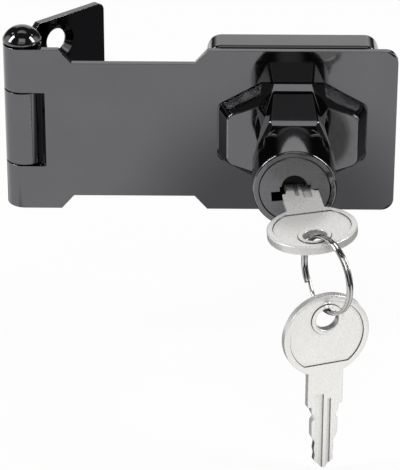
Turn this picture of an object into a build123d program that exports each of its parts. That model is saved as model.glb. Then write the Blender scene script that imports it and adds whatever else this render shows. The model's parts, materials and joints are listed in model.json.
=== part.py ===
"""Keyed twist-knob hasp lock, unlocked, with one key in the lock and a spare on its ring.

Millimetres, +Z up. The front faces -Y and the hinge is on the left (-X). The origin is on the
knob's axis, on the rear mounting plane of the lock base.
"""

import os
from math import cos, radians, sin, sqrt

from build123d import *

# Strap and hinge
SHEET = 1.5  # steel sheet of the strap and the leaf
SHEET_BREAK = 0.2  # edge rounding left by stamping and polishing
STRAP_RIGHT = 21.2  # knob axis to the strap's free end
STRAP_HEIGHT = 35.5
STRAP_CORNER = 2.5
WAIST_HEIGHT = 29.6  # the strap's narrower middle
WAIST_LEFT = -44.8
WAIST_RIGHT = -19.9
WAIST_CHAMFER_RUN = 2.6
HINGE_X = -54.94
KNUCKLE_RADIUS = 3.9
KNUCKLE_GAP = 0.3
ROLL_OPENING = 62.0  # degrees that the rolled sheet leaves open
STRAP_NOTCH_GAP = 0.65  # strap's cut-out to the leaf's knuckle
LEAF_KNUCKLE_HALF = 7.9
LEAF_HEIGHT = 38.5
LEAF_LENGTH = 24.0  # hinge axis to the leaf's free edge
LEAF_START = 5.7
LEAF_START_CHAMFER = 1.0
LEAF_CORNER = 1.6
LEAF_ANGLE = 43.4  # as photographed; at 0 it lies flat behind the strap
LEAF_HOLE_OUT = 11.9
LEAF_HOLE_HEIGHT = 13.8
LEAF_HOLE_RADIUS = 2.5
LEAF_SINK_RADIUS = 3.7
LEAF_SINK_ANGLE = 90.0
PIN_CLEARANCE = 0.05
PIN_HEAD_RADIUS = 3.95
PIN_HEAD_RIM = 0.6
PIN_HEAD_RISE = 3.2
PIN_HEAD_GAP = 0.45
PIN_FOOT = 0.6

# Lock base
BASE_WIDTH = 34.7
BASE_HEIGHT = 36.3
BASE_CORNER = 2.9
BASE_EDGE = 0.5
BASE_WALL = 1.9
BASE_FRONT_WALL = 2.0
BASE_TO_STRAP = 0.25
SLOT_HALF_WIDTH = 15.2
SLOT_END_HALF = 5.9
SLOT_TOP_HALF = 6.4
SLOT_HALF_HEIGHT = 10.9
SLOT_CORNER = 1.5
SLOT_CLEARANCE = 0.2
PLATFORM_PROUD = 0.1
BASE_SCREW_X = 12.9
BASE_SCREW_Z = 13.9
BASE_SCREW_RADIUS = 1.7
BASE_SINK_RADIUS = 3.1
BASE_SCREW_BOSS = 3.3
CENTRE_BOSS_RADIUS = 9.6
CENTRE_BOSS_SETBACK = 3.3  # mounting plane to the boss's rear face

# Knob
KNOB_GAP = 0.3  # wing plate to platform
WING_INSET = 0.2  # wing plate inside the slot's outline
WING_FRONT = 4.4  # in front of the strap, as are the next fronts
WING_FACE_HALF_WIDTH = 13.3
WING_FACE_END_HALF = 5.3
WING_FACE_TOP_HALF = 7.0
WING_FACE_HALF_HEIGHT = 7.45
WING_VALLEY_X = 5.6  # the wings dip here, beside the neck
WING_VALLEY_Z = 5.4
WING_LEDGE_HALF = 3.8
WING_CORNER = 1.2
WING_EDGE = 0.25
NECK_ROOT_HALF_WIDTH = 6.0
NECK_ROOT_END_HALF = 3.4
NECK_ROOT_TOP_HALF = 4.1
NECK_ROOT_HALF_HEIGHT = 9.6
NECK_FRONT = 15.3
NECK_FACE_HALF_WIDTH = 7.4
NECK_FACE_END_HALF = 3.4
NECK_FACE_TOP_HALF = 4.87
NECK_FACE_HALF_HEIGHT = 9.1
NECK_EDGE = 0.4
NECK_WALL = 1.0  # solid metal behind the plug's bore
BARREL_FRONT = 27.2
BARREL_RADIUS = 8.25
BARREL_EDGE = 0.35
STEM_RADIUS = 5.2
STEM_CLEARANCE = 0.08
TANG_HALF = 2.2  # half of the square behind the stem
TANG_RECESS = 0.1  # the square ends inside the stop plate

# Plug, wafers and locking dog
PLUG_RADIUS = 7.0
PLUG_CLEARANCE = 0.08
PLUG_EDGE = 0.2
PLUG_LENGTH = 16.5
PLUG_TILT = 5.0  # right end of the keyway up, as photographed
TAIL_RADIUS = 3.2
TAIL_CLEARANCE = 0.15
CRANK_RADIUS = 1.8
CRANK_PIN_RADIUS = 0.8
CRANK_REST = 45.0  # degrees below level, on the left
CRANK_CLEARANCE = 0.15
DOG_HALF_WIDTH = 3.2
DOG_TOP = 3.8
DOG_BOTTOM = 2.9
DOG_THICKNESS = 2.0
DOG_CLEARANCE = 0.1
DOG_SETBACK = 6.75  # mounting plane to the dog's front face
KEYWAY_HALF = 4.65
KEYWAY_TOP = -0.1
KEYWAY_BOTTOM = -2.1
KEYWAY_DEPTH = 14.5
RIDGE_TOP = 0.9
RIDGE_LEFT = -2.9
RIDGE_RIGHT = 3.2
RECESS_RADIUS = 2.5
RECESS_UP = 0.65
RECESS_DEPTH = 0.9
WAFERS = 5
WAFER_PITCH = 2.3
WAFER_FIRST = 3.0  # plug's face to the first wafer
WAFER_THICKNESS = 1.1
WAFER_CLEARANCE = 0.08
WAFER_HALF_HEIGHT = 3.3
WAFER_END_GAP = 0.2  # wafer's ends inside the plug's surface
WINDOW_MARGIN = 0.12  # wafer's window round the keyway
EAR_LEFT = 3.1
EAR_WIDTH = 1.1
EAR_DROP = 1.5
SPRING_LENGTH = 2.6
SPRING_RADIUS = 0.42
SPRING_WIRE_RADIUS = 0.12
SPRING_TURNS = 3
RETAINER_THICKNESS = 0.8
RETAINER_HALF = 2.0
RETAINER_INNER = 3.7
RETAINER_REACH = 0.5  # beyond the plug, into the barrel's groove
RETAINER_SETBACK = 1.6  # plug's rear to the retainer's front
RETAINER_ANGLE = 135.0
GROOVE_SPARE_ANGLE = 22.0
KEY_TURN = 90.0

# Rear of the knob
SPRING_WASHER_THICKNESS = 0.35
SPRING_WASHER_BOW = 0.3
SPRING_WASHER_RADIUS = 7.2
STOP_THICKNESS = 0.8
STOP_RADIUS = 6.4
STOP_TAB_REACH = 9.3
STOP_TAB_HALF = 1.6
STOP_POST_GAP = 0.15
STOP_POST_INNER = 7.7
STOP_POST_THICKNESS = 1.4
STOP_POST_PROUD = 0.2
SCREW_HEAD_RADIUS = 3.5
SCREW_HEAD_HEIGHT = 0.8
SCREW_RADIUS = 1.0
SCREW_LENGTH = 1.8
SCREW_SLOT_WIDTH = 0.7
SCREW_SLOT_DEPTH = 0.4

# Keys and ring
KEY_THICKNESS = 1.7
KEY_EDGE = 0.2
SHANK_HALF = 3.6
SHANK_LENGTH = 6.7
BOW_RADIUS = 8.65
BOW_RIM = 1.1
PANEL_DEPTH = 0.22
PANEL_CHORD = 6.1
KEY_HOLE_RADIUS = 2.3
KEY_HOLE_OUT = 3.6  # bow's centre to the hole's
EYELET_RADIUS = 3.15
# (distance from the shoulders, half-width of the blade)
BITTING = (
    (0.0, 2.85),
    (1.3, 2.75),
    (2.4, 2.15),
    (3.3, 2.7),
    (6.6, 2.65),
    (8.1, 1.85),
    (9.7, 2.05),
    (10.9, 1.8),
    (12.2, 2.0),
    (13.4, 0.9),
    (14.0, 0.5),
)
GROOVE_DEPTH = 0.4
WIDE_GROOVE = 1.7
WIDE_GROOVE_X = -1.2
WIDE_GROOVE_START = 2.7
NARROW_GROOVE = 0.8
NARROW_GROOVE_X = 0.75
NARROW_GROOVE_START = 1.5
KEY_IN_X = 1.0  # key's axis at the plug's face
KEY_IN_YAW = 7.0  # the loose key leans to the right
KEY_IN_DROP = 0.15  # below the keyway's upper wall
KEY_IN_GAP = 0.1  # shoulders to the plug's face
RING_RADIUS = 7.5
RING_WIRE_RADIUS = 0.34
RING_TURN_PITCH = 0.69
RING_STEP = 34.0  # degrees over which the wire changes sides
RING_STEP_AT = 215.0
RING_FACING = 57.0
RING_REACH = 4.3  # hole's centre to the ring's, along the ring
RING_CLEARANCE = 0.25
SPARE_FACING = 20.0
SPARE_CLEARANCE = 0.3

# Derived places
STRAP_FRONT = -2 * KNUCKLE_RADIUS
STRAP_BACK = STRAP_FRONT + SHEET
HINGE_Y = -KNUCKLE_RADIUS
KNUCKLE_BORE = KNUCKLE_RADIUS - SHEET
BASE_FRONT = STRAP_BACK + BASE_TO_STRAP
BASE_INSIDE = BASE_FRONT + BASE_FRONT_WALL
BASE_MID_WALL = BASE_FRONT + BASE_FRONT_WALL / 2
BOSS_REAR = -CENTRE_BOSS_SETBACK
PLATFORM_FRONT = STRAP_FRONT - PLATFORM_PROUD
WING_REAR = PLATFORM_FRONT - KNOB_GAP
WING_FACE = STRAP_FRONT - WING_FRONT
NECK_FACE = STRAP_FRONT - NECK_FRONT
KNOB_FACE = STRAP_FRONT - BARREL_FRONT
STEM_REAR = BOSS_REAR + SPRING_WASHER_THICKNESS + SPRING_WASHER_BOW
STOP_REAR = STEM_REAR + STOP_THICKNESS
STEM_BORE = STEM_RADIUS + STEM_CLEARANCE
PLUG_BORE = PLUG_RADIUS + PLUG_CLEARANCE
PLUG_REAR = KNOB_FACE + PLUG_LENGTH
DOG_FRONT = -DOG_SETBACK
DOG_REAR = DOG_FRONT + DOG_THICKNESS
CRANK_DROP = CRANK_RADIUS * sin(radians(CRANK_REST))
DOG_TRAVEL = 2 * CRANK_DROP
RETAINER_FRONT = PLUG_REAR - RETAINER_SETBACK
WAFER_END = PLUG_RADIUS - WAFER_END_GAP

os.makedirs("parts", exist_ok=True)


def front_plane(y, turn=0.0):
    """A plane that faces the front at depth y: local X to the right, local Y up."""
    t = radians(turn)
    return Plane(origin=(0, y, 0), x_dir=(cos(t), 0, sin(t)), z_dir=(0, -1, 0))


def octagon(half_width, end_half, top_half, half_height):
    """Corners of an octagon with level top and bottom and upright ends."""
    right = [(half_width, -end_half), (half_width, end_half)]
    top = [(top_half, half_height), (-top_half, half_height)]
    return right + top + [(-x, -y) for x, y in right] + [(-x, -y) for x, y in top]


def slot_outline(inset=0.0):
    """The slot's octagon, smaller all round by inset."""
    rise = SLOT_HALF_HEIGHT - SLOT_END_HALF
    run = SLOT_HALF_WIDTH - SLOT_TOP_HALF
    slope = sqrt(rise**2 + run**2)
    return octagon(
        SLOT_HALF_WIDTH - inset,
        SLOT_END_HALF - inset * (slope - rise) / run,
        SLOT_TOP_HALF - inset * (slope - run) / rise,
        SLOT_HALF_HEIGHT - inset,
    )


def with_valleys(outline, x, z=None):
    """The octagon with two more corners in its top and bottom sides, at x and height z."""
    z = outline[2][1] if z is None else z
    return outline[:3] + [(x, z), (-x, z)] + outline[3:7] + [(-x, -z), (x, -z)] + outline[7:]


def save(piece, name):
    """Name a finished piece and write it as its own STEP file."""
    piece.label = name
    export_step(piece, f"parts/{name}.step")


# The lock base is a die casting, open at the back, with screw bosses and a bored centre boss.
SCREW_CORNERS = [(x, z) for x in (-BASE_SCREW_X, BASE_SCREW_X) for z in (-BASE_SCREW_Z, BASE_SCREW_Z)]
POST_LENGTH = CENTRE_BOSS_RADIUS - STOP_POST_INNER
POST_RADIUS = STOP_POST_INNER + POST_LENGTH / 2
POST_OFFSET = STOP_TAB_HALF + STOP_POST_GAP + STOP_POST_THICKNESS / 2
POCKET_HALF = DOG_HALF_WIDTH + DOG_CLEARANCE
POCKET_REACH = DOG_TOP + DOG_TRAVEL + 2 * DOG_CLEARANCE
with BuildPart() as lock_base:
    with BuildSketch(front_plane(0)):
        RectangleRounded(BASE_WIDTH, BASE_HEIGHT, BASE_CORNER)
    extrude(amount=-BASE_FRONT)
    fillet(lock_base.faces().sort_by(Axis.Y)[0].edges(), BASE_EDGE)
    with BuildSketch(front_plane(0)):
        RectangleRounded(
            BASE_WIDTH - 2 * BASE_WALL,
            BASE_HEIGHT - 2 * BASE_WALL,
            BASE_CORNER - BASE_WALL,
        )
    extrude(amount=-BASE_INSIDE, mode=Mode.SUBTRACT)
    with BuildSketch(front_plane(0)):
        with Locations(*SCREW_CORNERS):
            Circle(BASE_SCREW_BOSS)
    extrude(amount=-BASE_MID_WALL)
    with BuildSketch(front_plane(BOSS_REAR)):
        Circle(CENTRE_BOSS_RADIUS)
    extrude(amount=BOSS_REAR - BASE_MID_WALL)
    with BuildSketch(front_plane(STOP_REAR + STOP_POST_PROUD)):
        with Locations((POST_OFFSET, -POST_RADIUS)):
            Rectangle(STOP_POST_THICKNESS, POST_LENGTH)
        with Locations((-POST_RADIUS, POST_OFFSET)):
            Rectangle(POST_LENGTH, STOP_POST_THICKNESS)
    extrude(amount=STOP_REAR + STOP_POST_PROUD - BASE_MID_WALL)
    with BuildSketch(front_plane(BASE_MID_WALL)) as platform:
        Polygon(*slot_outline(SLOT_CLEARANCE), align=None)
        fillet(platform.vertices(), SLOT_CORNER - SLOT_CLEARANCE)
    extrude(amount=BASE_MID_WALL - PLATFORM_FRONT)
    with BuildSketch(front_plane(0)):
        Circle(STEM_BORE)
    extrude(amount=-WING_REAR, mode=Mode.SUBTRACT)
    with BuildSketch(front_plane(BOSS_REAR)):
        with Locations((0, POCKET_REACH / 2)):
            Rectangle(2 * POCKET_HALF, POCKET_REACH)
        with Locations((POCKET_REACH / 2, 0)):
            Rectangle(POCKET_REACH, 2 * POCKET_HALF)
    extrude(amount=BOSS_REAR - DOG_FRONT + DOG_CLEARANCE, mode=Mode.SUBTRACT)
    with Locations(front_plane(BASE_FRONT)):
        with Locations(*SCREW_CORNERS):
            CounterSinkHole(BASE_SCREW_RADIUS, BASE_SINK_RADIUS, depth=-BASE_FRONT)
save(lock_base.part, "lock_base")

# The strap is stamped sheet with an octagonal slot and two rolled knuckles.
HALF = STRAP_HEIGHT / 2
WAIST = WAIST_HEIGHT / 2
STRAP_KNUCKLE_START = LEAF_KNUCKLE_HALF + KNUCKLE_GAP
NOTCH_RIGHT = HINGE_X + KNUCKLE_RADIUS + STRAP_NOTCH_GAP
UPPER_OUTLINE = [
    (STRAP_RIGHT, HALF),
    (WAIST_RIGHT + WAIST_CHAMFER_RUN, HALF),
    (WAIST_RIGHT, WAIST),
    (WAIST_LEFT, WAIST),
    (WAIST_LEFT - WAIST_CHAMFER_RUN, HALF),
    (HINGE_X, HALF),
]
with BuildPart() as hasp_strap:
    with BuildSketch(front_plane(STRAP_BACK)) as blank:
        Polygon(*UPPER_OUTLINE, *[(x, -z) for x, z in reversed(UPPER_OUTLINE)], align=None)
        fillet(blank.vertices().group_by(Axis.X)[-1], STRAP_CORNER)
    extrude(amount=SHEET)
    fillet(hasp_strap.faces().sort_by(Axis.Y)[0].edges().filter_by_position(
        Axis.X, HINGE_X + 1, STRAP_RIGHT + 1, inclusive=(True, True)), SHEET_BREAK)
    with BuildSketch(front_plane(STRAP_BACK)) as slot:
        Polygon(*slot_outline(), align=None)
        fillet(slot.vertices(), SLOT_CORNER)
    extrude(amount=SHEET, mode=Mode.SUBTRACT)
    with BuildSketch(front_plane(STRAP_BACK)):
        with Locations(((HINGE_X + NOTCH_RIGHT) / 2, 0)):
            Rectangle(NOTCH_RIGHT - HINGE_X, 2 * STRAP_KNUCKLE_START)
    extrude(amount=SHEET, mode=Mode.SUBTRACT)
    with BuildSketch(Plane.XY.offset(-HALF)):
        with Locations((HINGE_X, HINGE_Y)):
            Circle(KNUCKLE_RADIUS)
            Circle(KNUCKLE_BORE, mode=Mode.SUBTRACT)
            Polygon(
                (0, 0),
                (0, -2 * KNUCKLE_RADIUS),
                (2 * KNUCKLE_RADIUS, -2 * KNUCKLE_RADIUS),
                (2 * KNUCKLE_RADIUS * cos(radians(ROLL_OPENING - 90)),
                 2 * KNUCKLE_RADIUS * sin(radians(ROLL_OPENING - 90))),
                align=None,
                mode=Mode.SUBTRACT,
            )
    extrude(amount=STRAP_HEIGHT)
    with BuildSketch(Plane.XY.offset(-STRAP_KNUCKLE_START)):
        with Locations((HINGE_X, HINGE_Y)):
            Circle(KNUCKLE_RADIUS + SHEET_BREAK)
    extrude(amount=2 * STRAP_KNUCKLE_START, mode=Mode.SUBTRACT)
save(hasp_strap.part, "hasp_strap")

# The leaf is rolled the other way, so that it closes flat behind the strap. It is drawn closed.
LEAF_TOP = LEAF_HEIGHT / 2
LEAF_OUTLINE = [
    (HINGE_X, LEAF_KNUCKLE_HALF),
    (HINGE_X + LEAF_START, LEAF_KNUCKLE_HALF),
    (HINGE_X + LEAF_START, LEAF_TOP - LEAF_START_CHAMFER),
    (HINGE_X + LEAF_START + LEAF_START_CHAMFER, LEAF_TOP),
    (HINGE_X + LEAF_LENGTH, LEAF_TOP),
]
LEAF_HOLES = [(HINGE_X + LEAF_HOLE_OUT, z) for z in (-LEAF_HOLE_HEIGHT, LEAF_HOLE_HEIGHT)]
with BuildPart() as hinge_leaf:
    with BuildSketch(front_plane(0)) as blank:
        Polygon(*LEAF_OUTLINE, *[(x, -z) for x, z in reversed(LEAF_OUTLINE)], align=None)
        fillet(blank.vertices().group_by(Axis.X)[-1], LEAF_CORNER)
    extrude(amount=SHEET)
    fillet(hinge_leaf.faces().sort_by(Axis.Y)[0].edges().group_by(Axis.X)[-1], SHEET_BREAK)
    with BuildSketch(Plane.XY.offset(-LEAF_KNUCKLE_HALF)):
        with Locations((HINGE_X, HINGE_Y)):
            Circle(KNUCKLE_RADIUS)
            Circle(KNUCKLE_BORE, mode=Mode.SUBTRACT)
            Polygon(
                (0, 0),
                (0, 2 * KNUCKLE_RADIUS),
                (2 * KNUCKLE_RADIUS, 2 * KNUCKLE_RADIUS),
                (2 * KNUCKLE_RADIUS * sin(radians(ROLL_OPENING)),
                 2 * KNUCKLE_RADIUS * cos(radians(ROLL_OPENING))),
                align=None,
                mode=Mode.SUBTRACT,
            )
    extrude(amount=2 * LEAF_KNUCKLE_HALF)
    with Locations(front_plane(-SHEET)):
        with Locations(*LEAF_HOLES):
            CounterSinkHole(LEAF_HOLE_RADIUS, LEAF_SINK_RADIUS, SHEET, LEAF_SINK_ANGLE)
HINGE_AXIS = Axis((HINGE_X, HINGE_Y, 0), (0, 0, 1))
leaf_open = hinge_leaf.part.rotate(HINGE_AXIS, LEAF_ANGLE)
save(leaf_open, "hinge_leaf")

# The pin is turned, with a domed head and a riveted foot.
PIN_RADIUS = KNUCKLE_BORE - PIN_CLEARANCE
HEAD_SEAT = HALF + PIN_HEAD_GAP
HEAD_TOP = (0, HEAD_SEAT + PIN_HEAD_RISE)
DOME_RISE = PIN_HEAD_RISE - PIN_HEAD_RIM
DOME_RADIUS = (PIN_HEAD_RADIUS**2 + DOME_RISE**2) / (2 * DOME_RISE)
with BuildPart() as hinge_pin:
    with BuildSketch(Plane.XZ) as profile:
        with BuildLine():
            Polyline(
                (0, -HALF - PIN_FOOT),
                (PIN_RADIUS - PIN_FOOT / 2, -HALF - PIN_FOOT),
                (PIN_RADIUS, -HALF - PIN_FOOT / 2),
                (PIN_RADIUS, HEAD_SEAT),
                (PIN_HEAD_RADIUS, HEAD_SEAT),
                (PIN_HEAD_RADIUS, HEAD_SEAT + PIN_HEAD_RIM),
            )
            RadiusArc((PIN_HEAD_RADIUS, HEAD_SEAT + PIN_HEAD_RIM), HEAD_TOP, -DOME_RADIUS)
            Line(HEAD_TOP, (0, -HALF - PIN_FOOT))
        make_face()
    revolve(axis=Axis.Z)
pin_placed = hinge_pin.part.moved(Location((HINGE_X, HINGE_Y, 0)))
save(pin_placed, "hinge_pin")

# The knob is one casting: wing plate, collar, neck, barrel, and a stem through the base.
RETAINER_TIP = PLUG_RADIUS + RETAINER_REACH
GROOVE_RADIUS = RETAINER_TIP + PLUG_CLEARANCE
GROOVE_FROM = radians(RETAINER_ANGLE - KEY_TURN - GROOVE_SPARE_ANGLE)
GROOVE_TO = radians(RETAINER_ANGLE + GROOVE_SPARE_ANGLE)
FAR = 4 * GROOVE_RADIUS
with BuildPart() as twist_knob:
    with BuildSketch(front_plane(WING_REAR)):
        Polygon(
            *octagon(
                NECK_ROOT_HALF_WIDTH,
                NECK_ROOT_END_HALF,
                NECK_ROOT_TOP_HALF,
                NECK_ROOT_HALF_HEIGHT,
            ),
            align=None,
        )
    with BuildSketch(front_plane(NECK_FACE)):
        Polygon(
            *octagon(
                NECK_FACE_HALF_WIDTH,
                NECK_FACE_END_HALF,
                NECK_FACE_TOP_HALF,
                NECK_FACE_HALF_HEIGHT,
            ),
            align=None,
        )
    loft(ruled=True)
    fillet(twist_knob.edges().group_by(Axis.Y)[1], NECK_EDGE)
    with BuildSketch(front_plane(WING_REAR)):
        Polygon(*with_valleys(slot_outline(WING_INSET), WING_LEDGE_HALF), align=None)
    with BuildSketch(front_plane(WING_FACE)):
        Polygon(
            *with_valleys(
                octagon(
                    WING_FACE_HALF_WIDTH,
                    WING_FACE_END_HALF,
                    WING_FACE_TOP_HALF,
                    WING_FACE_HALF_HEIGHT,
                ),
                WING_VALLEY_X,
                WING_VALLEY_Z,
            ),
            align=None,
        )
    loft(ruled=True)
    fillet(
        twist_knob.edges().filter_by(
            lambda e: abs(e.center().X) > WING_FACE_HALF_WIDTH and abs(e.center().Z) > 1
        ),
        WING_CORNER,
    )
    fillet(
        twist_knob.edges().filter_by(
            lambda e: abs(e.center().Y - WING_FACE) < 0.01
            and abs(e.center().X) > WING_FACE_TOP_HALF
        ),
        WING_EDGE,
    )
    with BuildSketch(front_plane(PLUG_REAR + NECK_WALL)):
        Circle(BARREL_RADIUS - 2 * BARREL_EDGE)
    extrude(amount=PLUG_REAR + NECK_WALL - NECK_FACE)
    with BuildSketch(front_plane(NECK_FACE)):
        Circle(BARREL_RADIUS)
    extrude(amount=NECK_FACE - KNOB_FACE)
    chamfer(twist_knob.faces().sort_by(Axis.Y)[0].edges(), BARREL_EDGE)
    with BuildSketch(front_plane(STEM_REAR)):
        Circle(STEM_RADIUS)
    extrude(amount=STEM_REAR - WING_REAR)
    with BuildSketch(front_plane(STOP_REAR - TANG_RECESS)):
        Rectangle(2 * TANG_HALF, 2 * TANG_HALF)
    extrude(amount=STOP_REAR - TANG_RECESS - STEM_REAR)
    with BuildSketch(front_plane(PLUG_REAR + PLUG_CLEARANCE)):
        Circle(PLUG_BORE)
    extrude(amount=PLUG_LENGTH + 1, mode=Mode.SUBTRACT)
    chamfer(
        twist_knob.edges().filter_by(GeomType.CIRCLE).filter_by(
            lambda e: abs(e.center().Y - KNOB_FACE) < 0.01 and abs(e.radius - PLUG_BORE) < 0.01
        ),
        PLUG_EDGE,
    )
    with BuildSketch(front_plane(RETAINER_FRONT + RETAINER_THICKNESS + WAFER_CLEARANCE)):
        Circle(GROOVE_RADIUS)
        Polygon(
            (0, 0),
            (FAR * cos(GROOVE_FROM), FAR * sin(GROOVE_FROM)),
            (0, 2 * FAR),
            (FAR * cos(GROOVE_TO), FAR * sin(GROOVE_TO)),
            align=None,
            mode=Mode.INTERSECT,
        )
    extrude(amount=RETAINER_THICKNESS + 2 * WAFER_CLEARANCE, mode=Mode.SUBTRACT)
    with BuildSketch(front_plane(DOG_FRONT)):
        Circle(TAIL_RADIUS + TAIL_CLEARANCE)
    extrude(amount=DOG_FRONT - PLUG_REAR, mode=Mode.SUBTRACT)
    with BuildSketch(front_plane(DOG_REAR + DOG_CLEARANCE)):
        with Locations((0, (STEM_BORE - DOG_BOTTOM - DOG_CLEARANCE) / 2)):
            Rectangle(2 * POCKET_HALF, STEM_BORE + DOG_BOTTOM + DOG_CLEARANCE)
    extrude(amount=DOG_THICKNESS + 2 * DOG_CLEARANCE, mode=Mode.SUBTRACT)
    with BuildSketch(front_plane(STOP_REAR)):
        Circle(SCREW_RADIUS)
    extrude(amount=SCREW_LENGTH + TANG_RECESS, mode=Mode.SUBTRACT)
save(twist_knob.part, "twist_knob")

# The plug carries the keyway, the wafer slots, a tail and an off-centre crank pin.
TAIL_REAR = DOG_FRONT - DOG_CLEARANCE
PIN_END = DOG_REAR - DOG_CLEARANCE
CRANK_X = -CRANK_RADIUS * cos(radians(CRANK_REST))
WAFER_SLOT = WAFER_THICKNESS + 2 * WAFER_CLEARANCE
WAFER_FRONTS = [KNOB_FACE + WAFER_FIRST + i * WAFER_PITCH for i in range(WAFERS)]
EAR_BOTTOM = -WAFER_HALF_HEIGHT - EAR_DROP
SPRING_Z = -WAFER_HALF_HEIGHT - EAR_DROP / 2
POCKET_LEFT = EAR_LEFT - SPRING_LENGTH - 2 * WAFER_CLEARANCE
EAR_POCKET_RIGHT = EAR_LEFT + EAR_WIDTH + WAFER_END_GAP
with BuildPart() as cylinder_plug:
    with BuildSketch(front_plane(PLUG_REAR)):
        Circle(PLUG_RADIUS)
    extrude(amount=PLUG_LENGTH)
    chamfer(cylinder_plug.faces().sort_by(Axis.Y)[0].edges(), PLUG_EDGE)
    with BuildSketch(front_plane(TAIL_REAR)):
        Circle(TAIL_RADIUS)
    extrude(amount=TAIL_REAR - PLUG_REAR)
    with BuildSketch(front_plane(PIN_END)):
        with Locations((CRANK_X, -CRANK_DROP)):
            Circle(CRANK_PIN_RADIUS)
    extrude(amount=PIN_END - TAIL_REAR)
    with BuildSketch(front_plane(KNOB_FACE, PLUG_TILT)):
        with Locations((0, (KEYWAY_TOP + KEYWAY_BOTTOM) / 2)):
            Rectangle(2 * KEYWAY_HALF, KEYWAY_TOP - KEYWAY_BOTTOM)
        with Locations(((RIDGE_LEFT + RIDGE_RIGHT) / 2, (RIDGE_TOP + KEYWAY_BOTTOM) / 2)):
            Rectangle(RIDGE_RIGHT - RIDGE_LEFT, RIDGE_TOP - KEYWAY_BOTTOM)
    extrude(amount=-KEYWAY_DEPTH, mode=Mode.SUBTRACT)
    with BuildSketch(front_plane(KNOB_FACE, PLUG_TILT)):
        with Locations((0, RECESS_UP)):
            Circle(RECESS_RADIUS)
    extrude(amount=-RECESS_DEPTH, mode=Mode.SUBTRACT)
    for front in WAFER_FRONTS:
        with BuildSketch(front_plane(front - WAFER_CLEARANCE, PLUG_TILT)):
            Rectangle(3 * PLUG_RADIUS, 2 * (WAFER_HALF_HEIGHT + WAFER_CLEARANCE))
            with Locations(((POCKET_LEFT + EAR_POCKET_RIGHT) / 2, EAR_BOTTOM / 2)):
                Rectangle(EAR_POCKET_RIGHT - POCKET_LEFT, -EAR_BOTTOM + 2 * WAFER_CLEARANCE)
        extrude(amount=-WAFER_SLOT, mode=Mode.SUBTRACT)
    with BuildSketch(front_plane(RETAINER_FRONT - WAFER_CLEARANCE, RETAINER_ANGLE)):
        with Locations((RETAINER_INNER + PLUG_RADIUS, 0)):
            Rectangle(2 * PLUG_RADIUS, 2 * (RETAINER_HALF + WAFER_CLEARANCE))
    extrude(amount=-RETAINER_THICKNESS - 2 * WAFER_CLEARANCE, mode=Mode.SUBTRACT)
save(cylinder_plug.part, "cylinder_plug")

# Each wafer is a stamped plate with a window for the key and an ear for its spring.
WINDOW_TOP = RIDGE_TOP + WINDOW_MARGIN
WINDOW_BOTTOM = KEYWAY_BOTTOM - WINDOW_MARGIN
for number, front in enumerate(WAFER_FRONTS, start=1):
    with BuildPart() as wafer:
        with BuildSketch(front_plane(front, PLUG_TILT)):
            Circle(WAFER_END)
            Rectangle(3 * PLUG_RADIUS, 2 * WAFER_HALF_HEIGHT, mode=Mode.INTERSECT)
            with Locations((EAR_LEFT + EAR_WIDTH / 2, EAR_BOTTOM / 2)):
                Rectangle(EAR_WIDTH, -EAR_BOTTOM)
            with Locations((0, (WINDOW_TOP + WINDOW_BOTTOM) / 2)):
                Rectangle(
                    2 * (KEYWAY_HALF + WINDOW_MARGIN),
                    WINDOW_TOP - WINDOW_BOTTOM,
                    mode=Mode.SUBTRACT,
                )
        extrude(amount=-WAFER_THICKNESS)
    save(wafer.part, f"wafer_{number}")
    with BuildPart() as spring:
        with BuildLine():
            coil = Helix(
                pitch=(SPRING_LENGTH - 2 * SPRING_WIRE_RADIUS) / SPRING_TURNS,
                height=SPRING_LENGTH - 2 * SPRING_WIRE_RADIUS,
                radius=SPRING_RADIUS,
            )
        with BuildSketch(Plane(origin=coil @ 0, z_dir=coil % 0)):
            RegularPolygon(SPRING_WIRE_RADIUS, 6)
        sweep(is_frenet=True)
    start = EAR_LEFT - WAFER_CLEARANCE - SPRING_LENGTH + SPRING_WIRE_RADIUS
    seat = front_plane(front + WAFER_THICKNESS / 2, PLUG_TILT)
    along = Plane(
        origin=seat.from_local_coords((start, SPRING_Z, 0)), x_dir=seat.z_dir, z_dir=seat.x_dir
    )
    save(along.location * spring.part, f"wafer_spring_{number}")

# The retainer holds the plug in the barrel's groove.
with BuildPart() as retainer:
    with BuildSketch(front_plane(RETAINER_FRONT, RETAINER_ANGLE)):
        Circle(RETAINER_TIP)
        with Locations((RETAINER_INNER + PLUG_RADIUS, 0)):
            Rectangle(2 * PLUG_RADIUS - 2 * WAFER_CLEARANCE, 2 * RETAINER_HALF, mode=Mode.INTERSECT)
    extrude(amount=-RETAINER_THICKNESS)
save(retainer.part, "plug_retainer")

# The dog slides out of the stem into a pocket of the base when the key turns the crank.
SLOT_HALF = CRANK_PIN_RADIUS + CRANK_CLEARANCE
DOG_SLOT_LEFT = -CRANK_RADIUS - SLOT_HALF
DOG_SLOT_RIGHT = CRANK_X + SLOT_HALF
with BuildPart() as locking_dog:
    with BuildSketch(front_plane(DOG_REAR)):
        with Locations((0, (DOG_TOP - DOG_BOTTOM) / 2)):
            Rectangle(2 * DOG_HALF_WIDTH, DOG_TOP + DOG_BOTTOM)
        with Locations(((DOG_SLOT_LEFT + DOG_SLOT_RIGHT) / 2, -CRANK_DROP)):
            Rectangle(DOG_SLOT_RIGHT - DOG_SLOT_LEFT, 2 * SLOT_HALF, mode=Mode.SUBTRACT)
    extrude(amount=DOG_THICKNESS)
save(locking_dog.part, "locking_dog")

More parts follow.
